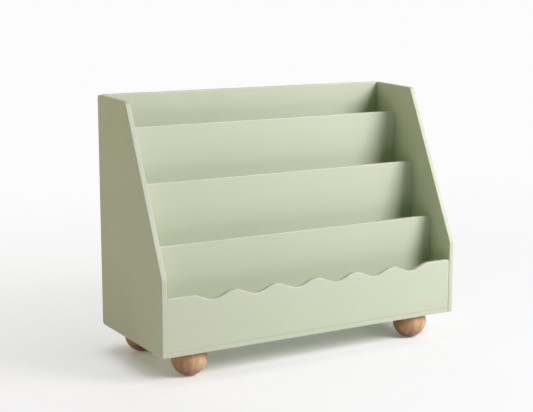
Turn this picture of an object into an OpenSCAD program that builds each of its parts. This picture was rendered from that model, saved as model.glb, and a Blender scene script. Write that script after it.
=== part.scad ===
// Children's tiered book display. Four pockets for books climb from front to back between two
// sloped side panels. The front board has a scalloped top edge, and the body stands on four
// turned ball feet. The front faces -Y, +X is to the right and Z = 0 is the floor.

/* [Body] */
// Overall width
width = 800; // [600:10:1000]
// Height of the body above its feet
body_h = 554; // [530:1:620]
// Thickness of every board
board = 12; // [12:0.5:18]
// Clear depth of each pocket, from its fence to the next board
pocket = 68.5; // [55:0.5:90]
// Depth of a pocket, from the top of its fence down to its floor
pocket_drop = 120; // [100:1:140]

/* [Side panels] */
// Depth of the top edge
top_depth = 158; // [120:1:180]
// Distance that the top edge falls towards the front
top_fall = 5; // [0:0.5:10]
// Height of the upright front edge, up to the start of the slope
knee_h = 178; // [150:1:200]
// Radius of the corner between the slope and the top edge
top_front_r = 12; // [6:1:24]
// Radius of the top rear corner
top_rear_r = 10; // [4:1:20]
// Radius of the knee, where the slope meets the front edge
knee_r = 24; // [6:1:40]
// Radius of the bottom rear corner
bottom_rear_r = 8; // [4:1:16]
// Radius of the bottom front corner
bottom_front_r = 3; // [2:0.5:8]
// Width of the eased arris around the side panels
ease = 1.5; // [0.5:0.5:2]

/* [Uprights] */
// Top of the front divider above the underside of the body
lower_top = 232.5; // [205:0.5:250]
// Top of the middle divider above the underside of the body
middle_top = 362; // [340:0.5:375]
// Top of the rear divider above the underside of the body
upper_top = 483; // [460:0.5:500]
// Radius of the rounded top edges
arris = 2; // [1:0.5:4]
// Distance that the front board and the bottom board stand back from the side panels
reveal = 1; // [0.5:0.5:2]

/* [Scalloped edge] */
// Height of the crests above the underside of the body
crest_h = 134; // [125:0.5:145]
// Height of the wave, from trough to crest
wave_h = 15; // [8:0.5:22]
// Number of hollows along the edge
waves = 6; // [4:1:8]
// Straight run between the wave and each end
end_flat = 61; // [40:1:80]
// Radius of the board's two top corners
end_r = 4; // [2:1:20]

/* [Feet] */
// Diameter of each ball
foot_d = 83; // [72:1:84]
// Distance from the underside of the body down to the centre of each ball
foot_drop = 22.5; // [20:0.5:32]
// Height cut off the bottom of each ball to make its resting face
foot_flat = 1; // [0.5:0.5:3]
// Distance from the outside of a side panel to the centre of a front ball
front_side_inset = 91; // [84:1:120]
// Distance from the outside of a side panel to the centre of a rear ball
rear_side_inset = 78; // [76:1:120]
// Distance from the front edge to the centre of a front ball
front_inset = 55; // [50:1:70]
// Distance from the rear edge to the centre of a rear ball
rear_inset = 55; // [46:1:70]

/* [Fittings] */
// Diameter of the cam discs
cam_d = 12; // [10:0.5:15]
// Distance from a board's end to the centre of its cams
cam_inset = 24; // [20:0.5:34]
// Wood left under each cam's bore
cam_floor = 2; // [1:0.5:3]
// Diameter of the threaded end of a cam bolt
bolt_d = 5; // [4:0.5:6]
// Length of thread in the side panel
bolt_grip = 9; // [7:0.5:10]
// Diameter of a cam bolt's collar, which stops it at the side panel
collar_d = 6.8; // [6:0.2:7.2]
// Thickness of the collar
collar_t = 1.5; // [1:0.5:3]
// Diameter of a cam bolt's shank
shank_d = 4; // [3:0.5:4.5]
// Diameter of the ball on the end of the shank
head_d = 6; // [5:0.25:6.5]
// Width and depth of the cross recess in a cam
recess = 1.5; // [1:0.25:2]
// Diameter of the dowels
dowel_d = 6; // [5:0.5:8]
// Length of the dowels
dowel_l = 25; // [22:1:30]
// Length of each dowel that goes into the face of a board
dowel_grip = 8; // [6:0.5:9]
// Distance of the outermost fittings from the edges of a board
edge_margin = 30; // [26:1:34]
// Distance of the outer cross dowels from the side panels
cross_margin = 120; // [100:1:160]
// Diameter of the hanger bolts that hold the feet
hanger_d = 8; // [6:1:8]
// Length of wood thread in each foot
hanger_grip = 30; // [24:1:36]
// Outer diameter of the threaded inserts in the bottom board
insert_d = 12; // [11:0.5:14]
// Length of the threaded inserts
insert_l = 10; // [8:0.5:11]
// Radial clearance of the fittings in their bores
clearance = 0.1; // [0.05:0.05:0.2]
// Free length left past the end of each fitting in its bore
end_play = 0.5; // [0.2:0.1:1]

/* [Hidden] */
$fn = 64;

paint = [0.80, 0.82, 0.73];
oak = [0.78, 0.62, 0.47];
beech = [0.86, 0.74, 0.56];
zinc = [0.75, 0.75, 0.72];

// Uprights are numbered from the front: 0 is the front board and 4 is the back panel.
// Floors are numbered from the front too: 0 is the bottom board and 3 is the upper shelf.
pitch = pocket + board;
depth = reveal + 4 * pitch + board;
inner_w = width - 2 * board;
upright_tops = [crest_h, lower_top, middle_top, upper_top, body_h];
function upright_y(i) = reveal - depth / 2 + i * pitch;
function floor_top(i) = i == 0 ? board : upright_tops[i] - pocket_drop;
function upright_base(i) = (i == 2 || i == 3) ? floor_top(i - 1) : board;

// A shelf runs from the back of its fence to the back of the divider that stands on it, and
// the upper shelf runs to the back panel.
function floor_front(i) = i == 0 ? upright_y(0) : upright_y(i) + board;
function floor_rear(i) = i == 0 ? depth / 2 : i == 3 ? upright_y(4) : upright_y(i + 1) + board;
function floor_mid(i) = (floor_front(i) + floor_rear(i)) / 2;

// The balls stand on the floor, and the body stands on the balls.
foot_r = foot_d / 2;
stand_off = foot_r - foot_flat + foot_drop;
// Each place is [x, y] at the centre of a ball, on the right.
front_foot = [width / 2 - front_side_inset, front_inset - depth / 2];
rear_foot = [width / 2 - rear_side_inset, depth / 2 - rear_inset];

// The way in for a bolt clears its collar, in the board and in the cam.
neck_r = collar_d / 2 + 3 * clearance;

// Segments in each hollow of the wave and in each rounded corner
wave_steps = 12;
corner_steps = 8;

// The side panels' outline seen from the side: [y, height, radius] at each corner.
side_corners = [
    [-depth / 2, 0, bottom_front_r],
    [depth / 2, 0, bottom_rear_r],
    [depth / 2, body_h, top_rear_r],
    [depth / 2 - top_depth, body_h - top_fall, top_front_r],
    [-depth / 2, knee_h, knee_r]
];

// Cams open to the back on the uprights and downwards on the bottom board. Each place is
// [y, height, tilt] on the inner face of a side panel, at the middle of a board's thickness.
to_rear = -90;
downwards = 180;
function upright_cam(i, z) = [upright_y(i) + board / 2, z, to_rear];
cam_places = concat(
    [for (y = [-1, 1]) [y * (depth / 2 - edge_margin), board / 2, downwards]],
    [for (i = [0:3], z = [floor_top(i) + edge_margin, upright_tops[i] - edge_margin])
        upright_cam(i, z)],
    [for (z = [board + edge_margin, (board + body_h) / 2, body_h - edge_margin])
        upright_cam(4, z)]
);

// Dowels in the boards' ends: [y, height] on the inner face of a side panel.
function upright_dowel(i, z) = [upright_y(i) + board / 2, z];
end_dowel_places = concat(
    [for (i = [0:3]) upright_dowel(i, (floor_top(i) + upright_tops[i]) / 2)],
    [for (i = [1:3]) upright_dowel(i, upright_base(i) + edge_margin)],
    [for (t = [1, 3]) upright_dowel(4, board + t * (body_h - board) / 4)],
    [for (i = [0:3], s = [-1, 1])
        [floor_mid(i) + s * (floor_rear(i) - floor_front(i)) / 4, floor_top(i) - board / 2]]
);

// Dowels between the boards: [y, height, tilt] of the face that each one enters.
upwards = 0;
to_front = 90;
cross_x = [for (s = [-1, 0, 1]) s * (inner_w / 2 - cross_margin)];
cross_dowel_places = concat(
    [for (i = [0:4]) [upright_y(i) + board / 2, upright_base(i), upwards]],
    [for (i = [1:3]) [upright_y(i) + board, floor_top(i) - board / 2, to_rear]],
    [[upright_y(4), floor_top(3) - board / 2, to_front]]
);

// Points of the arc that rounds the corner p between its neighbours a and b.
function unit(v) = v / norm(v);
function corner_arc(a, p, b, r) =
    let (
        u = unit(a - p),
        v = unit(b - p),
        half = acos(u * v) / 2,
        centre = p + unit(u + v) * r / sin(half),
        first = atan2(p.y + u.y * r / tan(half) - centre.y, p.x + u.x * r / tan(half) - centre.x)
    )
    [for (k = [0:corner_steps])
        let (angle = first + k * (180 - 2 * half) / corner_steps)
        centre + r * [cos(angle), sin(angle)]];

function rounded_outline(corners) =
    let (n = len(corners), at = [for (c = corners) [c[0], c[1]]])
    [for (k = [0:n - 1]) each corner_arc(at[(k + n - 1) % n], at[k], at[(k + 1) % n], corners[k][2])];

// Height of the front board's top edge at a distance s along the wave.
wave_run = inner_w - 2 * end_flat;
function wave_z(s) = crest_h - wave_h / 2 * (1 - cos(360 * waves * s / wave_run));
front_outline = concat(
    [[-inner_w / 2, board], [inner_w / 2, board]],
    [for (k = [0:corner_steps]) let (a = 90 * k / corner_steps)
        [inner_w / 2 - end_r + end_r * cos(a), crest_h - end_r + end_r * sin(a)]],
    [for (k = [0:waves * wave_steps]) let (s = wave_run * (1 - k / (waves * wave_steps)))
        [s - wave_run / 2, wave_z(s)]],
    [for (k = [0:corner_steps]) let (a = 90 + 90 * k / corner_steps)
        [end_r - inner_w / 2 + end_r * cos(a), crest_h - end_r + end_r * sin(a)]]
);

module on_feet() translate([0, 0, stand_off]) children();

// Turns an outline drawn in y and z so that its thickness runs along X from x.
module across(x, thickness) translate([x, 0, 0]) rotate([90, 0, 90])
    linear_extrude(thickness) children();

// One child at each end fitting of the left side. There X points into the boards, and Z
// points out of the face that a cam's bore opens to.
module at_cams() for (p = cam_places)
    translate([-inner_w / 2, p[0], p[1]]) rotate([p[2], 0, 0]) children();

module at_end_dowels() for (p = end_dowel_places) translate([-inner_w / 2, p[0], p[1]]) children();

module at_cross_dowels() for (p = cross_dowel_places, x = cross_x)
    translate([x, p[0], p[1]]) rotate([p[2], 0, 0]) children();

module at_feet() for (s = [-1, 1], p = [front_foot, rear_foot]) translate([s * p.x, p.y, 0]) children();

module along_x(from, to, r) translate([from, 0, 0]) rotate([0, 90, 0]) cylinder(h = to - from, r = r);

module both_sides() {
    children();
    mirror([1, 0, 0]) children();
}

// Bores for the end fittings of one side
module cam_bores() at_cams() {
    along_x(-bolt_grip - end_play, 0, bolt_d / 2 + clearance);
    along_x(-end_play, cam_inset, neck_r);
    translate([cam_inset, 0, cam_floor - board / 2])
        cylinder(h = board - cam_floor + end_play, r = cam_d / 2 + clearance);
}

module cam_bolt_bores() at_cams() along_x(-bolt_grip - end_play, end_play, bolt_d / 2 + clearance);

module end_dowel_bores() at_end_dowels()
    along_x(-dowel_grip - end_play, dowel_l - dowel_grip + end_play, dowel_d / 2 + clearance);

module cross_dowel_bores() at_cross_dowels() translate([0, 0, -dowel_grip - end_play])
    cylinder(h = dowel_l + 2 * end_play, r = dowel_d / 2 + clearance);

// A board with the bores of the fittings that reach it
module bored_board() {
    difference() {
        children();
        both_sides() {
            cam_bores();
            end_dowel_bores();
        }
        cross_dowel_bores();
    }
}

module left_side_panel() color(paint) on_feet() difference() {
    translate([-width / 2, 0, 0]) hull() {
        across(0, board) offset(delta = -ease) polygon(rounded_outline(side_corners));
        across(ease, board - 2 * ease) polygon(rounded_outline(side_corners));
    }
    cam_bolt_bores();
    end_dowel_bores();
}

module right_side_panel() mirror([1, 0, 0]) left_side_panel();

// An upright board with its top edge rounded
module upright(i) color(paint) on_feet() bored_board() across(-inner_w / 2, inner_w)
    translate([upright_y(i), upright_base(i)]) let (h = upright_tops[i] - upright_base(i)) {
        square([board, h - arris]);
        translate([arris, 0]) square([board - 2 * arris, h]);
        for (y = [arris, board - arris]) translate([y, h - arris]) circle(arris);
    }

module lower_divider() upright(1);
module middle_divider() upright(2);
module upper_divider() upright(3);
module back_panel() upright(4);

module front_board() color(paint) on_feet() bored_board() translate([0, upright_y(0) + board, 0])
    rotate([90, 0, 0]) linear_extrude(board) polygon(front_outline);

module floor_slab(i) translate([-inner_w / 2, floor_front(i), floor_top(i) - board])
    cube([inner_w, floor_rear(i) - floor_front(i), board]);

module bottom_board() color(paint) on_feet() difference() {
    bored_board() floor_slab(0);
    at_feet() translate([0, 0, -end_play])
        cylinder(h = insert_l + 2 * end_play, r = insert_d / 2 + clearance);
}

module shelf(i) color(paint) on_feet() bored_board() floor_slab(i);
module lower_shelf() shelf(1);
module middle_shelf() shelf(2);
module upper_shelf() shelf(3);

// A ball cut flat where it meets the body and where it meets the floor
module foot(p, side) color(oak) translate([side * p.x, p.y, 0]) difference() {
    translate([0, 0, foot_r - foot_flat]) sphere(foot_r);
    translate([-foot_r, -foot_r, -foot_r]) cube([foot_d, foot_d, foot_r]);
    translate([-foot_r, -foot_r, stand_off]) cube([foot_d, foot_d, foot_r]);
    translate([0, 0, stand_off - hanger_grip - end_play])
        cylinder(h = hanger_grip + 2 * end_play, r = hanger_d / 2 + clearance);
}

module front_left_foot() foot(front_foot, -1);
module front_right_foot() foot(front_foot, 1);
module rear_left_foot() foot(rear_foot, -1);
module rear_right_foot() foot(rear_foot, 1);

module foot_inserts() color(zinc) on_feet() at_feet() difference() {
    cylinder(h = insert_l, r = insert_d / 2);
    translate([0, 0, -end_play]) cylinder(h = insert_l + 2 * end_play, r = hanger_d / 2 + clearance);
}

module hanger_bolts() color(zinc) on_feet() at_feet() translate([0, 0, -hanger_grip])
    cylinder(h = hanger_grip + insert_l, r = hanger_d / 2);

// The bolt screws into the side panel, and its head lies at the centre of the cam.
module left_cam_bolts() color(zinc) on_feet() at_cams() {
    along_x(-bolt_grip, 0, bolt_d / 2);
    along_x(0, collar_t, collar_d / 2);
    along_x(collar_t, cam_inset, shank_d / 2);
    translate([cam_inset, 0, 0]) sphere(d = head_d);
}

module right_cam_bolts() mirror([1, 0, 0]) left_cam_bolts();

// A cam disc with the way in for the bolt's head and a cross recess for the driver
module left_cams() color(zinc) on_feet() at_cams() translate([cam_inset, 0, 0]) difference() {
    translate([0, 0, cam_floor - board / 2]) cylinder(h = board - cam_floor - clearance, r = cam_d / 2);
    along_x(-cam_d, 0, neck_r);
    sphere(neck_r);
    for (turn = [0, 90]) rotate(turn) translate([0, 0, board / 2])
        cube([cam_d * 2 / 3, recess, 2 * recess], center = true);
}

module right_cams() mirror([1, 0, 0]) left_cams();

module left_end_dowels() color(beech) on_feet() at_end_dowels()
    along_x(-dowel_grip, dowel_l - dowel_grip, dowel_d / 2);

module right_end_dowels() mirror([1, 0, 0]) left_end_dowels();

module cross_dowels() color(beech) on_feet() at_cross_dowels() translate([0, 0, -dowel_grip])
    cylinder(h = dowel_l, r = dowel_d / 2);

left_side_panel();
right_side_panel();
bottom_board();
back_panel();
front_board();
lower_divider();
middle_divider();
upper_divider();
lower_shelf();
middle_shelf();
upper_shelf();
front_left_foot();
front_right_foot();
rear_left_foot();
rear_right_foot();
foot_inserts();
hanger_bolts();
left_cam_bolts();
right_cam_bolts();
left_cams();
right_cams();
left_end_dowels();
right_end_dowels();
cross_dowels();
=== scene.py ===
"""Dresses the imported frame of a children's tiered book display.

Four pockets for books climb from front to back between two sloped side panels. Every board is
built again here with eased arrises and with the bores of the fittings that reach it, the ball
feet are turned, and the fittings keep their CAD meshes and get their metal and wood. Lengths are
in metres in the row frame: the front faces -Y, +X is to the right and the floor is at Z = 0.
"""

import logging
import math
from collections.abc import Callable, Mapping, Sequence
from dataclasses import dataclass
from enum import Enum
from functools import cached_property, partial

import bmesh
import bpy
from mathutils import Matrix, Vector


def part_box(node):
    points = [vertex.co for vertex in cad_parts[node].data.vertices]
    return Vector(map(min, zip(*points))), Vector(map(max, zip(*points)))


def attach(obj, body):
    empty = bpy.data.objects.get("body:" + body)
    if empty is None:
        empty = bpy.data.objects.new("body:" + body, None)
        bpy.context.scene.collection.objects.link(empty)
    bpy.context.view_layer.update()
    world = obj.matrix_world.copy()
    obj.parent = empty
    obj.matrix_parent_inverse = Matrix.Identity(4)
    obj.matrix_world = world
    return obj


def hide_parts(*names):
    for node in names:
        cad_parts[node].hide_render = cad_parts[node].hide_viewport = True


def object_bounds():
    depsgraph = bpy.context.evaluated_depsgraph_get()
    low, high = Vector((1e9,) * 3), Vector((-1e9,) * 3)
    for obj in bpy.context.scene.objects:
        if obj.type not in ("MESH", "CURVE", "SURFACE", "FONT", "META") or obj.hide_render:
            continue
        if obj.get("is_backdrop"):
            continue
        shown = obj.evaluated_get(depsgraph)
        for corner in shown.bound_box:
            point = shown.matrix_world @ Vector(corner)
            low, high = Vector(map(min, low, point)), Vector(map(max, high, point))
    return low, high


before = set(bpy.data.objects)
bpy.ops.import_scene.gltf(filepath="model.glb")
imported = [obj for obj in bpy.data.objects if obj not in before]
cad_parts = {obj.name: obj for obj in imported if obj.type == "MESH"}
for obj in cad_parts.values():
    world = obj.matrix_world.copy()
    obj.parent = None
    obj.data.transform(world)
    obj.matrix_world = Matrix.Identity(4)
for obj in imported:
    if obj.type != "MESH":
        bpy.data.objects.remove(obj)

CAD_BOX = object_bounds()
MM = 0.001
BODY = "root"
LOG = logging.getLogger("book_display")

# Sockets of the colour mix, which share their names with those of its other kinds
MIX_A, MIX_B, MIX_RESULT = 6, 7, 2
# Noise whose fine layers are weak, and noise whose fine layers are strong
SOFT_NOISE = {"Detail": 2.0, "Roughness": 0.5}
BUSY_NOISE = {"Detail": 3.0, "Roughness": 0.6}
# Faces that meet at more than this are shaded with a crisp edge between them
CRISP_ANGLE = math.radians(35)

Box = tuple[Vector, Vector]
Point = tuple[float, float]
SocketValue = float | Sequence[float] | bpy.types.NodeSocket
NodeMaker = Callable[..., bpy.types.Node]


class Slot(Enum):
    """The record's material slots for the paint and the oak."""

    PAINT = "painted_board"
    OAK = "turned_oak"


class Axis(Enum):
    """An axis of the row frame, by its place in a vector."""

    X = 0
    Y = 1
    Z = 2


class Lay(Enum):
    """The way that a board's length runs."""

    UPRIGHT = "upright"
    LEVEL = "level"


class Hole(Enum):
    """What a bore is drilled for."""

    CAM = "cam"
    BOLT_THREAD = "bolt thread"
    BOLT_WAY = "bolt way"
    DOWEL = "dowel"
    INSERT = "insert"


def linear(code: str) -> tuple[float, float, float, float]:
    """Turns an sRGB hex colour into linear light, by the straight toe and the power of sRGB.

    Args:
        code: The colour as # and six hex digits.

    Returns:
        Red, green, blue and an alpha of 1.
    """
    channels = [int(code[k : k + 2], 16) / 255 for k in (1, 3, 5)]
    toe, power = 0.04045, 2.4
    red, green, blue = (
        c / 12.92 if c <= toe else ((c + 0.055) / 1.055) ** power for c in channels
    )
    return red, green, blue, 1.0


def add_node(
    tree: bpy.types.NodeTree,
    kind: str,
    inputs: Mapping[str | int, SocketValue] | None = None,
    **settings: object,
) -> bpy.types.Node:
    """Adds a node with its settings, values and links.

    Args:
        tree: The node tree that gets the node.
        kind: The node's type name after ShaderNode.
        inputs: For each input, by name or number, the value it holds or the socket it is fed by.
        settings: The node's own settings.

    Returns:
        The new node.
    """
    node = tree.nodes.new(f"ShaderNode{kind}")
    for name, value in settings.items():
        setattr(node, name, value)
    for key, value in (inputs or {}).items():
        if isinstance(value, bpy.types.NodeSocket):
            tree.links.new(value, node.inputs[key])
        else:
            node.inputs[key].default_value = value
    return node


def empty_tree(owner: bpy.types.Material | bpy.types.World) -> NodeMaker:
    """Empties the node tree of a material or a world.

    Args:
        owner: The material or the world.

    Returns:
        The function add_node, for this tree.
    """
    owner.use_nodes = True
    owner.node_tree.nodes.clear()
    return partial(add_node, owner.node_tree)


@dataclass(frozen=True)
class SprayedLacquer:
    """Sage satin lacquer sprayed on fibreboard.

    Several thin coats, rubbed down between, leave an even and almost matt colour. The eye gets a
    soft sheen at a low angle, a trace of orange peel, and passes of the spray gun along each
    board that show as bands a shade apart. The arrises are rubbed smoother, so they catch more
    light than the faces, and their paler colour is a painted highlight along the edges.
    """

    colour: str = "#CEDAB9"
    heavy_coat: str = "#CCD8B6"
    # The arrises' paler colour: a painted highlight along the edges
    painted_arris_highlight: str = "#DFE7D2"
    # Polyurethane lacquer
    ior: float = 1.49
    roughness: float = 0.6
    arris_roughness: float = 0.54
    roughness_spread: float = 0.05
    # Real orange peel is 1 to 2 mm from hump to hump. It is drawn at 4 mm, so that it shows.
    peel: float = 4 * MM
    peel_height: float = 0.03 * MM
    # Width and length of the bands that the spray gun leaves
    pass_width: float = 22 * MM
    pass_length: float = 500 * MM
    # Size of the patches where more or less lacquer lies
    patch: float = 140 * MM
    # The sum of both noises where the coat is thinnest and where it is heaviest
    coat_range: Point = (0.75, 1.25)

    def make(self, lay: Lay, arris: bool) -> bpy.types.Material:
        """Makes the lacquer's material.

        Args:
            lay: The way that the spray passes run.
            arris: True for the arrises, whose paler colour is a painted highlight.

        Returns:
            The material.
        """
        place = "arris" if arris else "face"
        material = bpy.data.materials.new(f"satin_lacquer_on_fibreboard_{lay.value}_{place}")
        add = empty_tree(material)
        where = add("TexCoord").outputs["Object"]
        across, along = 1 / self.pass_width, 1 / self.pass_length
        scale = (across, across, along) if lay is Lay.UPRIGHT else (along, across, across)
        passes = add("Mapping", {"Vector": where, "Scale": scale}).outputs["Vector"]
        bands = add("TexNoise", {"Vector": passes, "Scale": 1.0, **BUSY_NOISE})
        patches = add("TexNoise", {"Vector": where, "Scale": 1 / self.patch, **SOFT_NOISE})
        both = add("Math", {0: bands.outputs["Fac"], 1: patches.outputs["Fac"]}, operation="ADD")
        thin, heavy = self.coat_range
        coat = add(
            "MapRange", {"Value": both.outputs["Value"], "From Min": thin, "From Max": heavy}
        ).outputs["Result"]
        # On the arrises the colour runs from the painted highlight to the plain lacquer
        colour = add(
            "Mix",
            {
                "Factor": coat,
                MIX_A: linear(self.painted_arris_highlight if arris else self.colour),
                MIX_B: linear(self.colour if arris else self.heavy_coat),
            },
            data_type="RGBA",
        )
        peel = add(
            "TexNoise", {"Vector": where, "Scale": 1 / self.peel, "Detail": 2.0, "Roughness": 0.45}
        )
        middle = self.arris_roughness if arris else self.roughness
        rough = add(
            "MapRange",
            {
                "Value": coat,
                "To Min": middle - self.roughness_spread,
                "To Max": middle + self.roughness_spread,
            },
        )
        bump = add(
            "Bump", {"Height": peel.outputs["Fac"], "Strength": 1.0, "Distance": self.peel_height}
        )
        shader = add(
            "BsdfPrincipled",
            {
                "Base Color": colour.outputs[MIX_RESULT],
                "Roughness": rough.outputs["Result"],
                "IOR": self.ior,
                "Normal": bump.outputs["Normal"],
            },
        )
        add("OutputMaterial", {"Surface": shader.outputs["BSDF"]})
        return material


@dataclass(frozen=True)
class TurnedWood:
    """Wood turned on a lathe and wiped with a matt oil.

    The grain runs up the turned piece. The year rings show as streaks down its sides and as
    arcs where the turning cuts across them near the bottom, darker late wood on a paler ground.
    Fine fibres and open pores break the colour up, faint level marks are left by the lathe's
    tool, and the oil leaves hardly any sheen.
    """

    name: str
    pale: str
    dark: str
    pore: str
    # Distance of the tree's heart from the middle of the piece
    heart: Point
    # Spacing of the year rings
    ring: float
    # The power that keeps each year's dark late wood narrow
    late_power: float = 2.2
    # The parts of the grain are added to this, and their sum runs from pale at 0 to dark at 1.
    depth: float = -0.7
    # How much each part of the grain darkens the wood
    mottle_weight: float = 0.8
    streak_weight: float = 0.8
    fibre_weight: float = 0.3
    tool_weight: float = 0.25
    late_weight: float = 0.2
    # The same for the painted shade on the side towards the heart, and the distances from the heart
    # that it ends between
    painted_side_shade: float = 0.0
    painted_side_shade_edge: Point = (60 * MM, 120 * MM)
    # The same for the end grain at the top and the bottom: partly darker wood where it soaks up
    # more of the oil, and partly painted shade where the piece meets the floor and the board
    end_grain_and_painted_shade: float = 0.0
    ior: float = 1.48
    # The pale wood is rougher than this by the spread, and the dark wood smoother.
    roughness: float = 0.52
    roughness_spread: float = 0.06
    # The fibres are about 0.1 mm across and are drawn at 1.1 mm, so that they show.
    fibre: float = 1.1 * MM
    fibre_length: float = 30 * MM
    # Open pores are 0.2 to 0.4 mm across and are drawn at 1.6 mm.
    pore_width: float = 1.6 * MM
    pore_length: float = 12 * MM
    pore_depth: float = 0.05 * MM
    # A pore starts to show at the first value of its noise, and at the second is this dark.
    pore_range: Point = (0.6, 0.72)
    pore_share: float = 0.55
    # The tool's marks are about 0.5 mm apart and are drawn at 2 mm. Each runs round the piece.
    tool_mark: float = 2 * MM
    tool_mark_reach: float = 60 * MM
    # Broad soft streaks, where the turning runs along the rings
    streak: float = 13 * MM
    streak_length: float = 110 * MM
    # Size and reach of the wander in the rings, and size of the mottling
    wander: float = 34 * MM
    wander_reach: float = 7 * MM
    mottle: float = 26 * MM

    def make(self) -> bpy.types.Material:
        """Makes the wood's material.

        Returns:
            The material.
        """
        material = bpy.data.materials.new(self.name)
        add = empty_tree(material)
        coordinates = add("TexCoord")
        where = coordinates.outputs["Object"]
        slow = add("TexNoise", {"Vector": where, "Scale": 1 / self.wander, **SOFT_NOISE})
        shift = add(
            "VectorMath",
            {0: slow.outputs["Color"], 1: (self.wander_reach, self.wander_reach, 0.0)},
            operation="MULTIPLY",
        )
        moved = add("VectorMath", {0: where, 1: shift.outputs["Vector"]}, operation="ADD")
        from_heart = add(
            "VectorMath", {0: moved.outputs["Vector"], 1: (*self.heart, 0.0)}, operation="SUBTRACT"
        )
        flat = add(
            "VectorMath",
            {0: from_heart.outputs["Vector"], 1: (1.0, 1.0, 0.0)},
            operation="MULTIPLY",
        )
        reach = add("VectorMath", {0: flat.outputs["Vector"]}, operation="LENGTH").outputs["Value"]
        turns = add("Math", {0: reach, 1: self.ring}, operation="DIVIDE")
        year = add("Math", {0: turns.outputs["Value"]}, operation="FRACT")
        late = add("Math", {0: year.outputs["Value"], 1: self.late_power}, operation="POWER")
        edge_start, edge_end = self.painted_side_shade_edge
        # Painted shade on the side of the piece towards the heart, fading out between the two
        # distances
        inner = add(
            "MapRange",
            {
                "Value": reach,
                "From Min": edge_start,
                "From Max": edge_end,
                "To Min": 1.0,
                "To Max": 0.0,
            },
        )
        fibres = self.strands(add, where, self.fibre, self.fibre_length)
        pores = self.strands(add, where, self.pore_width, self.pore_length)
        tool_marks = self.strands(add, where, self.tool_mark_reach, self.tool_mark)
        streaks = self.strands(add, where, self.streak, self.streak_length)
        mottling = add("TexNoise", {"Vector": where, "Scale": 1 / self.mottle, **BUSY_NOISE})
        facing = add(
            "VectorMath",
            {0: coordinates.outputs["Normal"], 1: (0.0, 0.0, 1.0)},
            operation="DOT_PRODUCT",
        )
        # Squared, so that the top and the bottom of the piece are both end grain, and both darken
        # with painted shade as well
        across = add("Math", {0: facing.outputs["Value"], 1: 2.0}, operation="POWER")
        depth: SocketValue = self.depth
        for part, weight in (
            (mottling.outputs["Fac"], self.mottle_weight),
            (streaks, self.streak_weight),
            (fibres, self.fibre_weight),
            (tool_marks, self.tool_weight),
            (late.outputs["Value"], self.late_weight),
            (across.outputs["Value"], self.end_grain_and_painted_shade),
            (inner.outputs["Result"], self.painted_side_shade),
        ):
            depth = add(
                "Math", {0: part, 1: weight, 2: depth}, operation="MULTIPLY_ADD"
            ).outputs["Value"]
        held = add("Clamp", {"Value": depth}).outputs["Result"]
        ground = add(
            "Mix",
            {"Factor": held, MIX_A: linear(self.pale), MIX_B: linear(self.dark)},
            data_type="RGBA",
        ).outputs[MIX_RESULT]
        first, full = self.pore_range
        open_pores = add(
            "MapRange",
            {"Value": pores, "From Min": first, "From Max": full, "To Max": self.pore_share},
        ).outputs["Result"]
        colour = add(
            "Mix", {"Factor": open_pores, MIX_A: ground, MIX_B: linear(self.pore)}, data_type="RGBA"
        )
        rough = add(
            "MapRange",
            {
                "Value": held,
                "To Min": self.roughness + self.roughness_spread,
                "To Max": self.roughness - self.roughness_spread,
            },
        )
        hollows = add("Math", {0: fibres, 1: open_pores}, operation="SUBTRACT")
        bump = add(
            "Bump",
            {"Height": hollows.outputs["Value"], "Strength": 1.0, "Distance": self.pore_depth},
        )
        shader = add(
            "BsdfPrincipled",
            {
                "Base Color": colour.outputs[MIX_RESULT],
                "Roughness": rough.outputs["Result"],
                "IOR": self.ior,
                "Normal": bump.outputs["Normal"],
            },
        )
        add("OutputMaterial", {"Surface": shader.outputs["BSDF"]})
        return material

    def strands(
        self, add: NodeMaker, where: bpy.types.NodeSocket, width: float, length: float
    ) -> bpy.types.NodeSocket:
        """Draws strands that run up the grain.

        Args:
            add: Adds a node to the material's tree.
            where: The socket that gives the place.
            width: Width of a strand.
            length: Length of a strand.

        Returns:
            The socket that gives the strands, from 0 to 1.
        """
        scale = (1 / width, 1 / width, 1 / length)
        drawn_out = add("Mapping", {"Vector": where, "Scale": scale}).outputs["Vector"]
        noise = add("TexNoise", {"Vector": drawn_out, "Scale": 1.0, **SOFT_NOISE})
        return noise.outputs["Fac"]


@dataclass(frozen=True)
class DieCastZinc:
    """Zinc of the cams, bolts and inserts, cast or plated and left bright.

    It gives the eye a soft grey shine with a faint cast grain, duller in patches where it has
    been handled.
    """

    colour: str = "#C6C8C7"
    # Where it is bright and where it has been handled, and the noise at which each is reached
    roughness: Point = (0.28, 0.46)
    patch_range: Point = (0.3, 0.7)
    # Real cast grain is about 0.3 mm and is drawn at 0.8 mm.
    grain: float = 0.8 * MM
    grain_height: float = 0.02 * MM
    patch: float = 7 * MM

    def make(self) -> bpy.types.Material:
        """Makes the zinc's material.

        Returns:
            The material.
        """
        material = bpy.data.materials.new("bright_die_cast_zinc")
        add = empty_tree(material)
        where = add("TexCoord").outputs["Object"]
        grain = add("TexNoise", {"Vector": where, "Scale": 1 / self.grain, **SOFT_NOISE})
        patches = add("TexNoise", {"Vector": where, "Scale": 1 / self.patch, "Detail": 3.0})
        bright_at, dull_at = self.patch_range
        bright, dull = self.roughness
        rough = add(
            "MapRange",
            {
                "Value": patches.outputs["Fac"],
                "From Min": bright_at,
                "From Max": dull_at,
                "To Min": bright,
                "To Max": dull,
            },
        )
        bump = add(
            "Bump", {"Height": grain.outputs["Fac"], "Strength": 1.0, "Distance": self.grain_height}
        )
        shader = add(
            "BsdfPrincipled",
            {
                "Base Color": linear(self.colour),
                "Metallic": 1.0,
                "Roughness": rough.outputs["Result"],
                "Normal": bump.outputs["Normal"],
            },
        )
        add("OutputMaterial", {"Surface": shader.outputs["BSDF"]})
        return material


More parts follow.
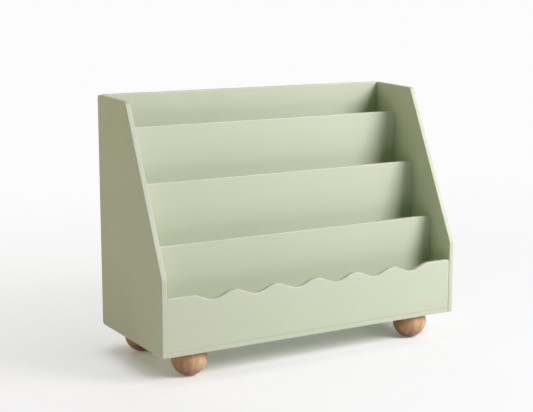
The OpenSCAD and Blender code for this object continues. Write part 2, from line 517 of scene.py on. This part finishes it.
OILED_OAK = TurnedWood(
    name="oiled_turned_oak",
    pale="#ECC897",
    dark="#8B5729",
    pore="#6F4B2C",
    # The heart lies left of and behind each ball, so the painted side shade darkens its left and
    # rear, away from the key lamp
    heart=(-0.073, 0.043),
    ring=4.5 * MM,
    depth=-0.87,
    painted_side_shade=0.48,
    # Darker towards the top and the bottom: end grain, and painted shade where each ball meets the
    # floor and the board
    end_grain_and_painted_shade=0.55,
)

BARE_BEECH = TurnedWood(
    name="bare_beech_dowel_rod",
    pale="#DDBB8D",
    dark="#C79B6B",
    pore="#A87B4F",
    heart=(0.03, 0.02),
    ring=2.4 * MM,
    roughness=0.62,
)


def put(name: str, data: bpy.types.Mesh | bpy.types.Light | bpy.types.Camera) -> bpy.types.Object:
    """Puts a new object in the scene.

    Args:
        name: The object's name.
        data: Its mesh, light or camera.

    Returns:
        The object.
    """
    made = bpy.data.objects.new(name, data)
    bpy.context.scene.collection.objects.link(made)
    return made


def mesh_from(bm: bmesh.types.BMesh, name: str) -> bpy.types.Mesh:
    """Turns a mesh under construction into a finished one.

    Args:
        bm: The mesh under construction, which is freed.
        name: The name of the mesh.

    Returns:
        The mesh.
    """
    mesh = bpy.data.meshes.new(name)
    bm.to_mesh(mesh)
    bm.free()
    return mesh


@dataclass(frozen=True)
class Bore:
    """A round hole from one end of its axis to the other."""

    hole: Hole
    start: Vector
    end: Vector
    radius: float

    def meets(self, box: Box) -> bool:
        """Tells whether the bore reaches into a box.

        Args:
            box: The box's lowest and highest corners.

        Returns:
            True if it does.
        """
        low, high = box
        for k in range(3):
            ends = sorted((self.start[k], self.end[k]))
            if ends[1] + self.radius < low[k] or ends[0] - self.radius > high[k]:
                return False
        return True

    def cut_from(self, bm: bmesh.types.BMesh, segments: int) -> None:
        """Adds the bore's cylinder to a mesh of cutters.

        Args:
            bm: The mesh that gets the cylinder.
            segments: Number of sides.
        """
        run = self.end - self.start
        turn = run.to_track_quat("Z", "Y").to_matrix().to_4x4()
        bmesh.ops.create_cone(
            bm,
            cap_ends=True,
            segments=segments,
            radius1=self.radius,
            radius2=self.radius,
            depth=run.length,
            matrix=Matrix.Translation((self.start + self.end) / 2) @ turn,
        )


def solids_of(node: str) -> list[Box]:
    """Finds the separate solids of a CAD node.

    Args:
        node: The node's name.

    Returns:
        The lowest and highest corner of each solid.
    """
    same_place = 0.001 * MM
    bm = bmesh.new()
    bm.from_mesh(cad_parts[node].data)
    bmesh.ops.remove_doubles(bm, verts=bm.verts, dist=same_place)
    boxes: list[Box] = []
    left = set(bm.verts)
    while left:
        island, reached = set(), [left.pop()]
        while reached:
            vert = reached.pop()
            island.add(vert.co.copy().freeze())
            for edge in vert.link_edges:
                other = edge.other_vert(vert)
                if other in left:
                    left.remove(other)
                    reached.append(other)
        low, high = (Vector([pick(p[k] for p in island) for k in range(3)]) for pick in (min, max))
        boxes.append((low, high))
    bm.free()
    return sorted(boxes, key=lambda box: tuple(box[0]))


@dataclass
class Fittings:
    """The cams, bolts, dowels and inserts, and the bores that they sit in."""

    clearance: float = 0.1 * MM
    # A bolt's head has this much room on its way to the cam.
    way_clearance: float = 0.3 * MM
    end_play: float = 0.5 * MM
    thread_radius: float = 2.5 * MM
    # Distance of the side panels' inner faces from the middle
    inner_x: float = 388 * MM

    def bores(self) -> list[Bore]:
        """Lists the bores that the fittings need.

        Returns:
            Every bore in the boards.
        """
        made: list[Bore] = []
        for side in ("left", "right"):
            made += [self.cam_bore(box) for box in solids_of(f"{side}_cams")]
            for low, high in solids_of(f"{side}_cam_bolts"):
                made += self.bolt_bores(low, high)
        for node in ("left_end_dowels", "right_end_dowels", "cross_dowels"):
            made += [self.dowel_bore(box) for box in solids_of(node)]
        made += [self.insert_bore(box) for box in solids_of("foot_inserts")]
        return made

    def cam_bore(self, box: Box) -> Bore:
        """Gives the bore of a cam, which opens to the back or downwards.

        Args:
            box: The cam's lowest and highest corners.

        Returns:
            The bore.
        """
        low, high = box
        size = high - low
        start, end = (low + high) / 2, (low + high) / 2
        if size.y < size.z:
            start.y, end.y = low.y, high.y + self.end_play
        else:
            start.z, end.z = high.z, low.z - self.end_play
        return Bore(Hole.CAM, start, end, max(size) / 2 + self.clearance)

    def bolt_bores(self, low: Vector, high: Vector) -> list[Bore]:
        """Gives the bores of a cam bolt: its thread in the side panel and its way to the cam.

        Args:
            low: The bolt's lowest corner.
            high: The bolt's highest corner.

        Returns:
            The two bores.
        """
        side = math.copysign(1, low.x)
        outer, inner = (high.x, low.x) if side > 0 else (low.x, high.x)
        y, z = (low.y + high.y) / 2, (low.z + high.z) / 2
        face = side * self.inner_x
        play = side * self.end_play
        head = (high.z - low.z) / 2
        return [
            Bore(
                Hole.BOLT_THREAD,
                Vector((outer + play, y, z)),
                Vector((face - play, y, z)),
                self.thread_radius + self.clearance,
            ),
            Bore(
                Hole.BOLT_WAY,
                Vector((face + play, y, z)),
                Vector((inner + side * head, y, z)),
                head + self.way_clearance,
            ),
        ]

    def dowel_bore(self, box: Box) -> Bore:
        """Gives the bore of a dowel.

        Args:
            box: The dowel's lowest and highest corners.

        Returns:
            The bore.
        """
        low, high = box
        size = high - low
        along = max(range(3), key=lambda k: size[k])
        start, end = (low + high) / 2, (low + high) / 2
        start[along] = low[along] - self.end_play
        end[along] = high[along] + self.end_play
        return Bore(Hole.DOWEL, start, end, min(size) / 2 + self.clearance)

    def insert_bore(self, box: Box) -> Bore:
        """Gives the bore of a threaded insert, which opens downwards.

        Args:
            box: The insert's lowest and highest corners.

        Returns:
            The bore.
        """
        low, high = box
        start, end = (low + high) / 2, (low + high) / 2
        start.z, end.z = high.z + self.end_play, low.z - self.end_play
        return Bore(Hole.INSERT, start, end, (high.x - low.x) / 2 + self.clearance)

    def dress(self, zinc: bpy.types.Material, beech: bpy.types.Material) -> None:
        """Gives the CAD nodes of the fittings their metal and wood.

        Args:
            zinc: The metal of the cams, bolts and inserts.
            beech: The wood of the dowels.
        """
        metal = ["foot_inserts", "hanger_bolts"]
        wood = ["cross_dowels"]
        for side in ("left", "right"):
            metal += [f"{side}_cam_bolts", f"{side}_cams"]
            wood.append(f"{side}_end_dowels")
        for names, finish in ((metal, zinc), (wood, beech)):
            for name in names:
                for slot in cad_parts[name].material_slots:
                    slot.material = finish
                LOG.info("%s keeps its CAD mesh and gets %s", name, finish.name)


def settle(piece: bpy.types.Object) -> None:
    """Turns a piece's modifiers into mesh.

    Args:
        piece: The piece.
    """
    graph = bpy.context.evaluated_depsgraph_get()
    made = bpy.data.meshes.new_from_object(
        piece.evaluated_get(graph), preserve_all_data_layers=True, depsgraph=graph
    )
    piece.modifiers.clear()
    old, piece.data = piece.data, made
    bpy.data.meshes.remove(old)
    made.name = piece.name


def hand_over(piece: bpy.types.Object, slot: Slot, *nodes: str) -> None:
    """Puts a piece on the frame in place of CAD nodes and reports it.

    Args:
        piece: The piece.
        slot: The record's slot for the piece's finish. It is not used.
        nodes: The CAD nodes that it stands for.
    """
    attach(piece, BODY)
    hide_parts(*nodes)
    LOG.info("%s: %d faces, for %s", piece.name, len(piece.data.polygons), ", ".join(nodes))


def runs_along(run: Vector, axis: Axis) -> bool:
    """Tells whether the larger part of a direction is along an axis."""
    return abs(run[axis.value]) > 0.5


@dataclass
class Board:
    """A board cut to an outline, with eased arrises and the bores of its fittings."""

    node: str
    thickness: Axis
    lay: Lay
    # Radius of the arrises that touch a neighbour, which leave a fine groove at each joint
    joint_arris: float = 0.4 * MM
    # Radius of the arrises that a hand meets
    open_arris: float = 2 * MM
    # The board is sawn this much short of the side panel at each end
    end_gap: float = 0.3 * MM
    # Edges that turn by less than this, such as those in a rounded corner, aren't arrises
    arris_turn: float = math.radians(40)
    arris_steps: int = 4
    bore_sides: int = 40

    @cached_property
    def box(self) -> Box:
        """The CAD node's lowest and highest corners."""
        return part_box(self.node)

    def outline(self) -> list[Point]:
        """Gives the outline of a board that spans the side panels.

        It is in X and in Y or Z, whichever of them the board's thickness doesn't use.

        Returns:
            The corners in order, counter-clockwise.
        """
        low, high = self.box
        b = (Axis.Y if self.thickness is Axis.Z else Axis.Z).value
        left, right = low.x + self.end_gap, high.x - self.end_gap
        return [(left, low[b]), (right, low[b]), (right, high[b]), (left, high[b])]

    def arris(self, middle: Vector, run: Vector) -> float:
        """Gives the radius that an edge of the board is eased to.

        Only the long edges are eased. A board's ends are sawn square and butt the side panels.

        Args:
            middle: The middle of the edge.
            run: The edge's direction.

        Returns:
            The radius.
        """
        return self.joint_arris if runs_along(run, Axis.X) else 0.0

    def holes(self) -> list[set[Hole]]:
        """Lists the kinds of bore that the board takes, in the order they are drilled."""
        return [{Hole.CAM, Hole.DOWEL, Hole.INSERT}, {Hole.BOLT_WAY}]

    def build(
        self, bores: Sequence[Bore], face: bpy.types.Material, arris: bpy.types.Material
    ) -> None:
        """Builds the board and puts it on the frame.

        Args:
            bores: Every bore in the boards.
            face: The finish of the faces.
            arris: The finish of the arrises, with their painted highlight.
        """
        piece = put(f"dressed_{self.node}", self.sawn())
        piece.data.materials.append(face)
        piece.data.materials.append(arris)
        ease = piece.modifiers.new("ease", "BEVEL")
        ease.width = self.open_arris
        ease.limit_method = "WEIGHT"
        ease.segments = self.arris_steps
        ease.use_clamp_overlap = False
        ease.material = 1
        ease.miter_outer = "MITER_SHARP"
        cutters = []
        for kinds in self.holes():
            near = [b for b in bores if b.hole in kinds and b.meets(self.box)]
            if near:
                cutters.append(self.cutter(near))
                drill = piece.modifiers.new("drill", "BOOLEAN")
                drill.operation = "DIFFERENCE"
                drill.solver = "MANIFOLD"
                drill.object = cutters[-1]
        settle(piece)
        for cutter in cutters:
            bpy.data.meshes.remove(cutter.data)
        piece.data.shade_smooth()
        piece.data.set_sharp_from_angle(angle=CRISP_ANGLE)
        piece.modifiers.new("even shading", "WEIGHTED_NORMAL").keep_sharp = True
        hand_over(piece, Slot.PAINT, self.node)

    def sawn(self) -> bpy.types.Mesh:
        """Saws the board, with the radius of each arris as its edge's weight.

        Returns:
            The board's mesh.
        """
        low, high = self.box
        t = self.thickness.value
        a, b = (k for k in range(3) if k != t)
        bm = bmesh.new()
        rings = []
        for depth in (low[t], high[t]):
            ring = []
            for u, v in self.outline():
                place = Vector((0.0, 0.0, 0.0))
                place[a], place[b], place[t] = u, v, depth
                ring.append(bm.verts.new(place))
            rings.append(ring)
        bm.faces.new(rings[0])
        bm.faces.new(rings[1])
        count = len(rings[0])
        for k in range(count):
            n = (k + 1) % count
            bm.faces.new((rings[0][k], rings[0][n], rings[1][n], rings[1][k]))
        bmesh.ops.recalc_face_normals(bm, faces=bm.faces)
        weight = bm.edges.layers.float.new("bevel_weight_edge")
        for edge in bm.edges:
            if edge.calc_face_angle(0.0) > self.arris_turn:
                one, two = (v.co for v in edge.verts)
                radius = self.arris((one + two) / 2, (two - one).normalized())
                edge[weight] = radius / self.open_arris
        return mesh_from(bm, self.node)

    def cutter(self, bores: Sequence[Bore]) -> bpy.types.Object:
        """Makes the object that drills some bores.

        Args:
            bores: The bores, which don't overlap.

        Returns:
            A hidden object with a cylinder for each bore.
        """
        bm = bmesh.new()
        for bore in bores:
            bore.cut_from(bm, self.bore_sides)
        cutter = put("drill", mesh_from(bm, "drill"))
        cutter.hide_render = True
        return cutter


def rounded(corners: Sequence[tuple[float, float, float]], steps: int) -> list[Point]:
    """Rounds the corners of an outline.

    Args:
        corners: The two places and the radius of each corner.
        steps: Segments in each arc.

    Returns:
        The points of the rounded outline.
    """
    points: list[Point] = []
    places = [Vector(c[:2]) for c in corners]
    for k, (_, _, radius) in enumerate(corners):
        here = places[k]
        before = (places[k - 1] - here).normalized()
        after = (places[(k + 1) % len(places)] - here).normalized()
        half = before.angle(after) / 2
        centre = here + (before + after).normalized() * radius / math.sin(half)
        first = here + before * radius / math.tan(half) - centre
        last = here + after * radius / math.tan(half) - centre
        sweep = first.angle_signed(last)
        for step in range(steps + 1):
            angle = -sweep * step / steps
            cos, sin = math.cos(angle), math.sin(angle)
            spoke = Vector((first.x * cos - first.y * sin, first.x * sin + first.y * cos))
            points.append(tuple(centre + spoke))
    return points


@dataclass
class SidePanel(Board):
    """A side panel with its sloped front and rounded corners."""

    thickness: Axis = Axis.X
    lay: Lay = Lay.UPRIGHT
    open_arris: float = 1.5 * MM
    top_depth: float = 158 * MM
    top_fall: float = 5 * MM
    knee_height: float = 178 * MM
    bottom_front_radius: float = 3 * MM
    bottom_rear_radius: float = 8 * MM
    top_rear_radius: float = 10 * MM
    top_front_radius: float = 12 * MM
    knee_radius: float = 24 * MM
    corner_steps: int = 14

    def outline(self) -> list[Point]:
        """Gives the panel's outline seen from the side.

        Returns:
            The points as distance back and height.
        """
        low, high = self.box
        return rounded(
            [
                (low.y, low.z, self.bottom_front_radius),
                (high.y, low.z, self.bottom_rear_radius),
                (high.y, high.z, self.top_rear_radius),
                (high.y - self.top_depth, high.z - self.top_fall, self.top_front_radius),
                (low.y, low.z + self.knee_height, self.knee_radius),
            ],
            self.corner_steps,
        )

    def arris(self, middle: Vector, run: Vector) -> float:
        """Gives the open arris to the whole rim of both faces."""
        return self.open_arris

    def holes(self) -> list[set[Hole]]:
        """Lists the kinds of bore that a side panel takes."""
        return [{Hole.DOWEL, Hole.BOLT_THREAD}]


@dataclass
class Upright(Board):
    """A divider or the back panel, with its top edge rounded over."""

    thickness: Axis = Axis.Y
    lay: Lay = Lay.LEVEL

    def arris(self, middle: Vector, run: Vector) -> float:
        """Gives the open arris to the top edge, and the other long edges the tight one."""
        top = middle.z > self.box[1].z - self.open_arris and runs_along(run, Axis.X)
        return self.open_arris if top else super().arris(middle, run)


@dataclass
class FrontBoard(Upright):
    """The front board, whose top edge rises and falls in even hollows."""

    joint_arris: float = 0.8 * MM
    end_gap: float = 0.5 * MM
    # It stands on the bottom board with a gap that the light doesn't reach
    base_gap: float = 0.3 * MM
    wave_height: float = 15 * MM
    waves: int = 6
    wave_steps: int = 28
    end_flat: float = 61 * MM
    end_radius: float = 4 * MM
    end_steps: int = 8
    # An edge is one of the board's upright ends if its direction has this much Z
    plumb: float = 0.99

    def outline(self) -> list[Point]:
        """Gives the board's outline seen from the front.

        Returns:
            The points as distance to the right and height.
        """
        low, high = self.box
        base = low.z + self.base_gap
        run = high.x - low.x - 2 * self.end_flat
        count = self.waves * self.wave_steps
        wave = []
        for k in range(count + 1):
            turn = 2 * math.pi * k / self.wave_steps
            x = high.x - self.end_flat - run * k / count
            wave.append((x, high.z - self.wave_height / 2 * (1 - math.cos(turn))))
        quarter = [math.pi / 2 * k / self.end_steps for k in range(self.end_steps + 1)]
        arc = [(self.end_radius * math.cos(q), self.end_radius * math.sin(q)) for q in quarter]
        inset = self.end_radius + self.end_gap
        right, left = high.x - inset, low.x + inset
        level = high.z - self.end_radius
        return [
            (left - self.end_radius, base),
            (right + self.end_radius, base),
            *((right + cos, level + sin) for cos, sin in arc),
            *wave,
            *((left - sin, level + cos) for cos, sin in arc),
        ]

    def arris(self, middle: Vector, run: Vector) -> float:
        """Gives the radius of an edge: round along the wave and tight at the joints.

        Args:
            middle: The middle of the edge.
            run: The edge's direction.

        Returns:
            The radius.
        """
        high_up = middle.z > self.box[1].z - self.wave_height - self.end_radius
        if high_up and abs(run.z) < self.plumb and not runs_along(run, Axis.Y):
            return self.open_arris
        return super().arris(middle, run)


@dataclass
class Floor(Board):
    """The bottom board or a shelf."""

    thickness: Axis = Axis.Z
    lay: Lay = Lay.LEVEL
    open_arris: float = 1 * MM

    def arris(self, middle: Vector, run: Vector) -> float:
        """Gives the open arris to the long edges below, and those above the tight one."""
        under = middle.z < (self.box[0].z + self.box[1].z) / 2 and runs_along(run, Axis.X)
        return self.open_arris if under else super().arris(middle, run)


@dataclass
class BallFoot:
    """A turned ball, cut flat where it meets the body and the floor."""

    node: str
    # How far up the billet the ball was cut, which gives each ball its own grain
    up_the_billet: float
    radius: float = 41.5 * MM
    lower_flat: float = 1 * MM
    # Width of the rounding at the edge of each flat. At the top it passes through a point this
    # share of the width in from its outside, and this share of it down.
    rim: float = 0.8 * MM
    rim_point: Point = (0.35, 0.12)
    bore_radius: float = 4.1 * MM
    bore_depth: float = 30.5 * MM
    sides: int = 96
    arc_steps: int = 44

    def profile(self, height: float) -> list[Point]:
        """Gives half of the ball's section, from the bore in its top round to its foot.

        Args:
            height: Height of the ball between its flats.

        Returns:
            Distance from the axis and height above the lower flat at each point.
        """
        centre = self.radius - self.lower_flat
        top = math.asin((height - centre) / self.radius)
        bottom = -math.asin(centre / self.radius)
        step = self.rim / self.radius
        top_edge = self.radius * math.cos(top)
        foot_edge = self.radius * math.cos(bottom)
        inwards, downwards = self.rim_point
        points = [
            (0.0, height - self.bore_depth),
            (self.bore_radius, height - self.bore_depth),
            (self.bore_radius, height),
            (top_edge - self.rim, height),
            (top_edge - self.rim * inwards, height - self.rim * downwards),
        ]
        for k in range(self.arc_steps + 1):
            angle = top - step + (bottom - top + 2 * step) * k / self.arc_steps
            points.append((self.radius * math.cos(angle), centre + self.radius * math.sin(angle)))
        points += [(foot_edge - self.rim, 0.0), (0.0, 0.0)]
        return points

    def build(self, oak: bpy.types.Material) -> None:
        """Turns the ball and puts it on the frame.

        Args:
            oak: The finish of the wood.
        """
        low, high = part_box(self.node)
        middle = (low + high) / 2
        lift = self.radius - self.lower_flat
        bm = bmesh.new()
        turns = [2 * math.pi * k / self.sides for k in range(self.sides)]
        rings: list[list[bmesh.types.BMVert]] = []
        for reach, level in self.profile(high.z - low.z):
            z = level - lift + self.up_the_billet
            spots = [(reach * math.cos(t), reach * math.sin(t), z) for t in turns]
            rings.append([bm.verts.new(spot) for spot in (spots if reach else spots[:1])])
        for upper, lower in zip(rings, rings[1:]):
            for k in range(self.sides):
                n = (k + 1) % self.sides
                if len(upper) == 1:
                    bm.faces.new((upper[0], lower[n], lower[k]))
                elif len(lower) == 1:
                    bm.faces.new((upper[k], upper[n], lower[0]))
                else:
                    bm.faces.new((upper[k], upper[n], lower[n], lower[k]))
        bmesh.ops.recalc_face_normals(bm, faces=bm.faces)
        mesh = mesh_from(bm, self.node)
        mesh.materials.append(oak)
        mesh.shade_smooth()
        mesh.set_sharp_from_angle(angle=CRISP_ANGLE)
        piece = put(f"turned_{self.node}", mesh)
        piece.location = (middle.x, middle.y, low.z + lift - self.up_the_billet)
        hand_over(piece, Slot.OAK, self.node)


@dataclass(frozen=True)
class Lamp:
    """A round soft lamp that points at the middle of the object."""

    name: str
    # Degrees to the right of the front, and degrees above the level
    bearing: float
    lift: float
    size: float
    power: float
    colour: str = "#FFFFFF"
    distance: float = 3.8
    # False where a mirror image of the lamp in the flat top edges would be too bright
    shine: bool = True

    def make(self, aim: Vector) -> None:
        """Puts the lamp in the scene, out of the camera's sight.

        Args:
            aim: The place that it points at.
        """
        bearing, lift = math.radians(self.bearing), math.radians(self.lift)
        level = math.cos(lift)
        towards = Vector((math.sin(bearing) * level, -math.cos(bearing) * level, math.sin(lift)))
        light = bpy.data.lights.new(self.name, "AREA")
        light.shape = "DISK"
        light.size = self.size
        light.energy = self.power
        light.color = linear(self.colour)[:3]
        lamp = put(self.name, light)
        lamp.location = aim + towards * self.distance
        lamp.rotation_euler = towards.to_track_quat("Z", "Y").to_euler()
        lamp.visible_camera = False
        lamp.visible_glossy = self.shine


@dataclass
class Studio:
    """A white floor that fades into a white room, the soft lamps and the camera."""

    box: Box
    lamps: tuple[Lamp, ...] = (
        Lamp("key", bearing=38, lift=31, size=2.0, power=156, colour="#FAF0FF"),
        Lamp("left_fill", bearing=-110, lift=20, size=2.4, power=33, colour="#FFEAD3"),
        Lamp("back_fill", bearing=160, lift=8, size=1.4, power=50, colour="#FAF3FF", shine=False),
    )
    white: str = "#FCFCFC"
    floor_colour: str = "#F0F1F1"
    ambient_colour: str = "#E9FFE0"
    ambient: float = 0.045
    # The camera sees the floor this much lighter than it is, without the key lamp's tint
    floor_gain: tuple[float, float, float] = (1.26, 1.31, 1.22)
    floor_radius: float = 9.0
    floor_sides: int = 96
    # The fade to white starts from the share under the object, this far inside its footprint.
    # It is at the near share this far outside it, and from there on the rest of it follows.
    under_share: float = 0.1
    fade_inside: float = 0.06
    fade_outside: float = 0.05
    near_share: float = 0.52
    fade_distance: float = 2.5
    fade_power: float = 0.38
    # The camera, as fitted to the photograph's straight edges, with its angles in degrees
    camera_place: tuple[float, float, float] = (-1.50250, -2.50348, 0.86641)
    camera_yaw: float = 30.288
    camera_pitch: float = 10.189
    lens: float = 82.751
    sensor: float = 36.0
    clip: Point = (0.05, 100.0)

    def build(self) -> None:
        """Builds the floor, the room's light, the lamps and the camera."""
        self.floor()
        self.room()
        low, high = self.box
        for lamp in self.lamps:
            lamp.make((low + high) / 2)
        self.camera()

    def seen(self, add: NodeMaker) -> bpy.types.NodeSocket:
        """Tells the rays that look at the room from those that only carry its light.

        Args:
            add: Adds a node to the tree that asks.

        Returns:
            A socket that is 1 for camera, glossy and transmission rays.
        """
        path = add("LightPath").outputs
        looks = add(
            "Math", {0: path["Is Camera Ray"], 1: path["Is Glossy Ray"]}, operation="MAXIMUM"
        )
        return add(
            "Math", {0: looks.outputs["Value"], 1: path["Is Transmission Ray"]}, operation="MAXIMUM"
        ).outputs["Value"]

    def fade(self, add: NodeMaker) -> bpy.types.NodeSocket:
        """Draws the floor's fade to white by the distance from the object's footprint.

        Args:
            add: Adds a node to the floor's tree.

        Returns:
            The share of white, which is 1 far from the object.
        """
        low, high = self.box
        inset = Vector((self.fade_inside, self.fade_inside, 0.0))
        half = (high - low) / 2 - inset
        place = add("NewGeometry").outputs["Position"]
        sides = add("VectorMath", {0: place}, operation="ABSOLUTE")
        beyond = add(
            "VectorMath",
            {0: sides.outputs["Vector"], 1: (half.x, half.y, 0.0)},
            operation="SUBTRACT",
        )
        outside = add("VectorMath", {0: beyond.outputs["Vector"]}, operation="MAXIMUM")
        reach = add(
            "VectorMath", {0: outside.outputs["Vector"]}, operation="LENGTH"
        ).outputs["Value"]
        near = add(
            "MapRange",
            {
                "Value": reach,
                "From Max": self.fade_inside + self.fade_outside,
                "To Min": self.under_share,
                "To Max": self.near_share,
            },
            interpolation_type="SMOOTHSTEP",
        )
        run = add(
            "MapRange",
            {"Value": reach, "From Min": self.fade_inside, "From Max": self.fade_distance},
        )
        slow = add("Math", {0: run.outputs["Result"], 1: self.fade_power}, operation="POWER")
        return add(
            "Math",
            {0: slow.outputs["Value"], 1: 1 - self.near_share, 2: near.outputs["Result"]},
            operation="MULTIPLY_ADD",
        ).outputs["Value"]

    def floor(self) -> None:
        """Lays the floor, which keeps the shadow and fades to white away from the object.

        It is clear to whoever looks up through it, so that the object's underside shows too.
        """
        material = bpy.data.materials.new("matt_paper_floor")
        add = empty_tree(material)
        seen = self.seen(add)
        plain = linear(self.floor_colour)
        gained = [c * gain for c, gain in zip(plain, self.floor_gain)] + [1.0]
        colour = add("Mix", {"Factor": seen, MIX_A: plain, MIX_B: gained}, data_type="RGBA")
        paper = add("BsdfDiffuse", {"Color": colour.outputs[MIX_RESULT]})
        white = add("Emission", {"Color": linear(self.white)})
        amount = add("Math", {0: self.fade(add), 1: seen}, operation="MULTIPLY")
        mixed = add(
            "MixShader",
            {0: amount.outputs["Value"], 1: paper.outputs["BSDF"], 2: white.outputs["Emission"]},
        )
        below = add("NewGeometry").outputs["Backfacing"]
        clear = add("BsdfTransparent").outputs["BSDF"]
        one_sided = add("MixShader", {0: below, 1: mixed.outputs["Shader"], 2: clear})
        add("OutputMaterial", {"Surface": one_sided.outputs["Shader"]})
        bm = bmesh.new()
        bmesh.ops.create_circle(
            bm, cap_ends=True, segments=self.floor_sides, radius=self.floor_radius
        )
        mesh = mesh_from(bm, "studio_floor")
        mesh.materials.append(material)
        floor = put("studio_floor", mesh)
        floor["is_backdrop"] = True

    def room(self) -> None:
        """Lights the room evenly and shows it white to the camera."""
        world = bpy.data.worlds.new("white_room")
        bpy.context.scene.world = world
        add = empty_tree(world)
        light = add("Background", {"Color": linear(self.ambient_colour), "Strength": self.ambient})
        shown = add("Background", {"Color": linear(self.white), "Strength": 1.0})
        mixed = add(
            "MixShader",
            {0: self.seen(add), 1: light.outputs["Background"], 2: shown.outputs["Background"]},
        )
        add("OutputWorld", {"Surface": mixed.outputs["Shader"]})

    def camera(self) -> None:
        """Sets the camera up as the photograph's was."""
        data = bpy.data.cameras.new("photo_camera")
        data.sensor_fit = "HORIZONTAL"
        data.sensor_width = self.sensor
        data.lens = self.lens
        data.clip_start, data.clip_end = self.clip
        camera = put("photo_camera", data)
        camera.location = self.camera_place
        pitch, yaw = math.radians(90 - self.camera_pitch), math.radians(-self.camera_yaw)
        camera.rotation_euler = (pitch, 0.0, yaw)
        bpy.context.scene.camera = camera


def corners(box: Box) -> list[list[float]]:
    """Gives a box's lowest and highest corners as plain lists."""
    return [[float(c) for c in corner] for corner in box]


def main() -> None:
    """Builds the object and the studio around it."""
    logging.basicConfig(level=logging.INFO, format="%(message)s")
    bpy.context.scene.view_settings.view_transform = "Standard"
    fittings = Fittings()
    bores = fittings.bores()
    LOG.info("%d bores", len(bores))
    lacquer = SprayedLacquer()
    coats = {lay: (lacquer.make(lay, arris=False), lacquer.make(lay, arris=True)) for lay in Lay}
    boards: list[Board] = [
        SidePanel("left_side_panel"),
        SidePanel("right_side_panel"),
        Floor("bottom_board", end_gap=FrontBoard.end_gap),
        Upright("back_panel"),
        FrontBoard("front_board"),
        Upright("lower_divider"),
        Upright("middle_divider"),
        Upright("upper_divider"),
        Floor("lower_shelf"),
        Floor("middle_shelf"),
        Floor("upper_shelf"),
    ]
    for board in boards:
        board.build(bores, *coats[board.lay])
    oak = OILED_OAK.make()
    feet = ("front_left_foot", "front_right_foot", "rear_left_foot", "rear_right_foot")
    for node, up in zip(feet, (0.0, 0.3, 0.6, 0.9)):
        BallFoot(node, up).build(oak)
    fittings.dress(DieCastZinc().make(), BARE_BEECH.make())
    Studio(CAD_BOX).build()
    {"cad": corners(CAD_BOX), "visual": corners(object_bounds())}


if __name__ == "__main__":
    main()
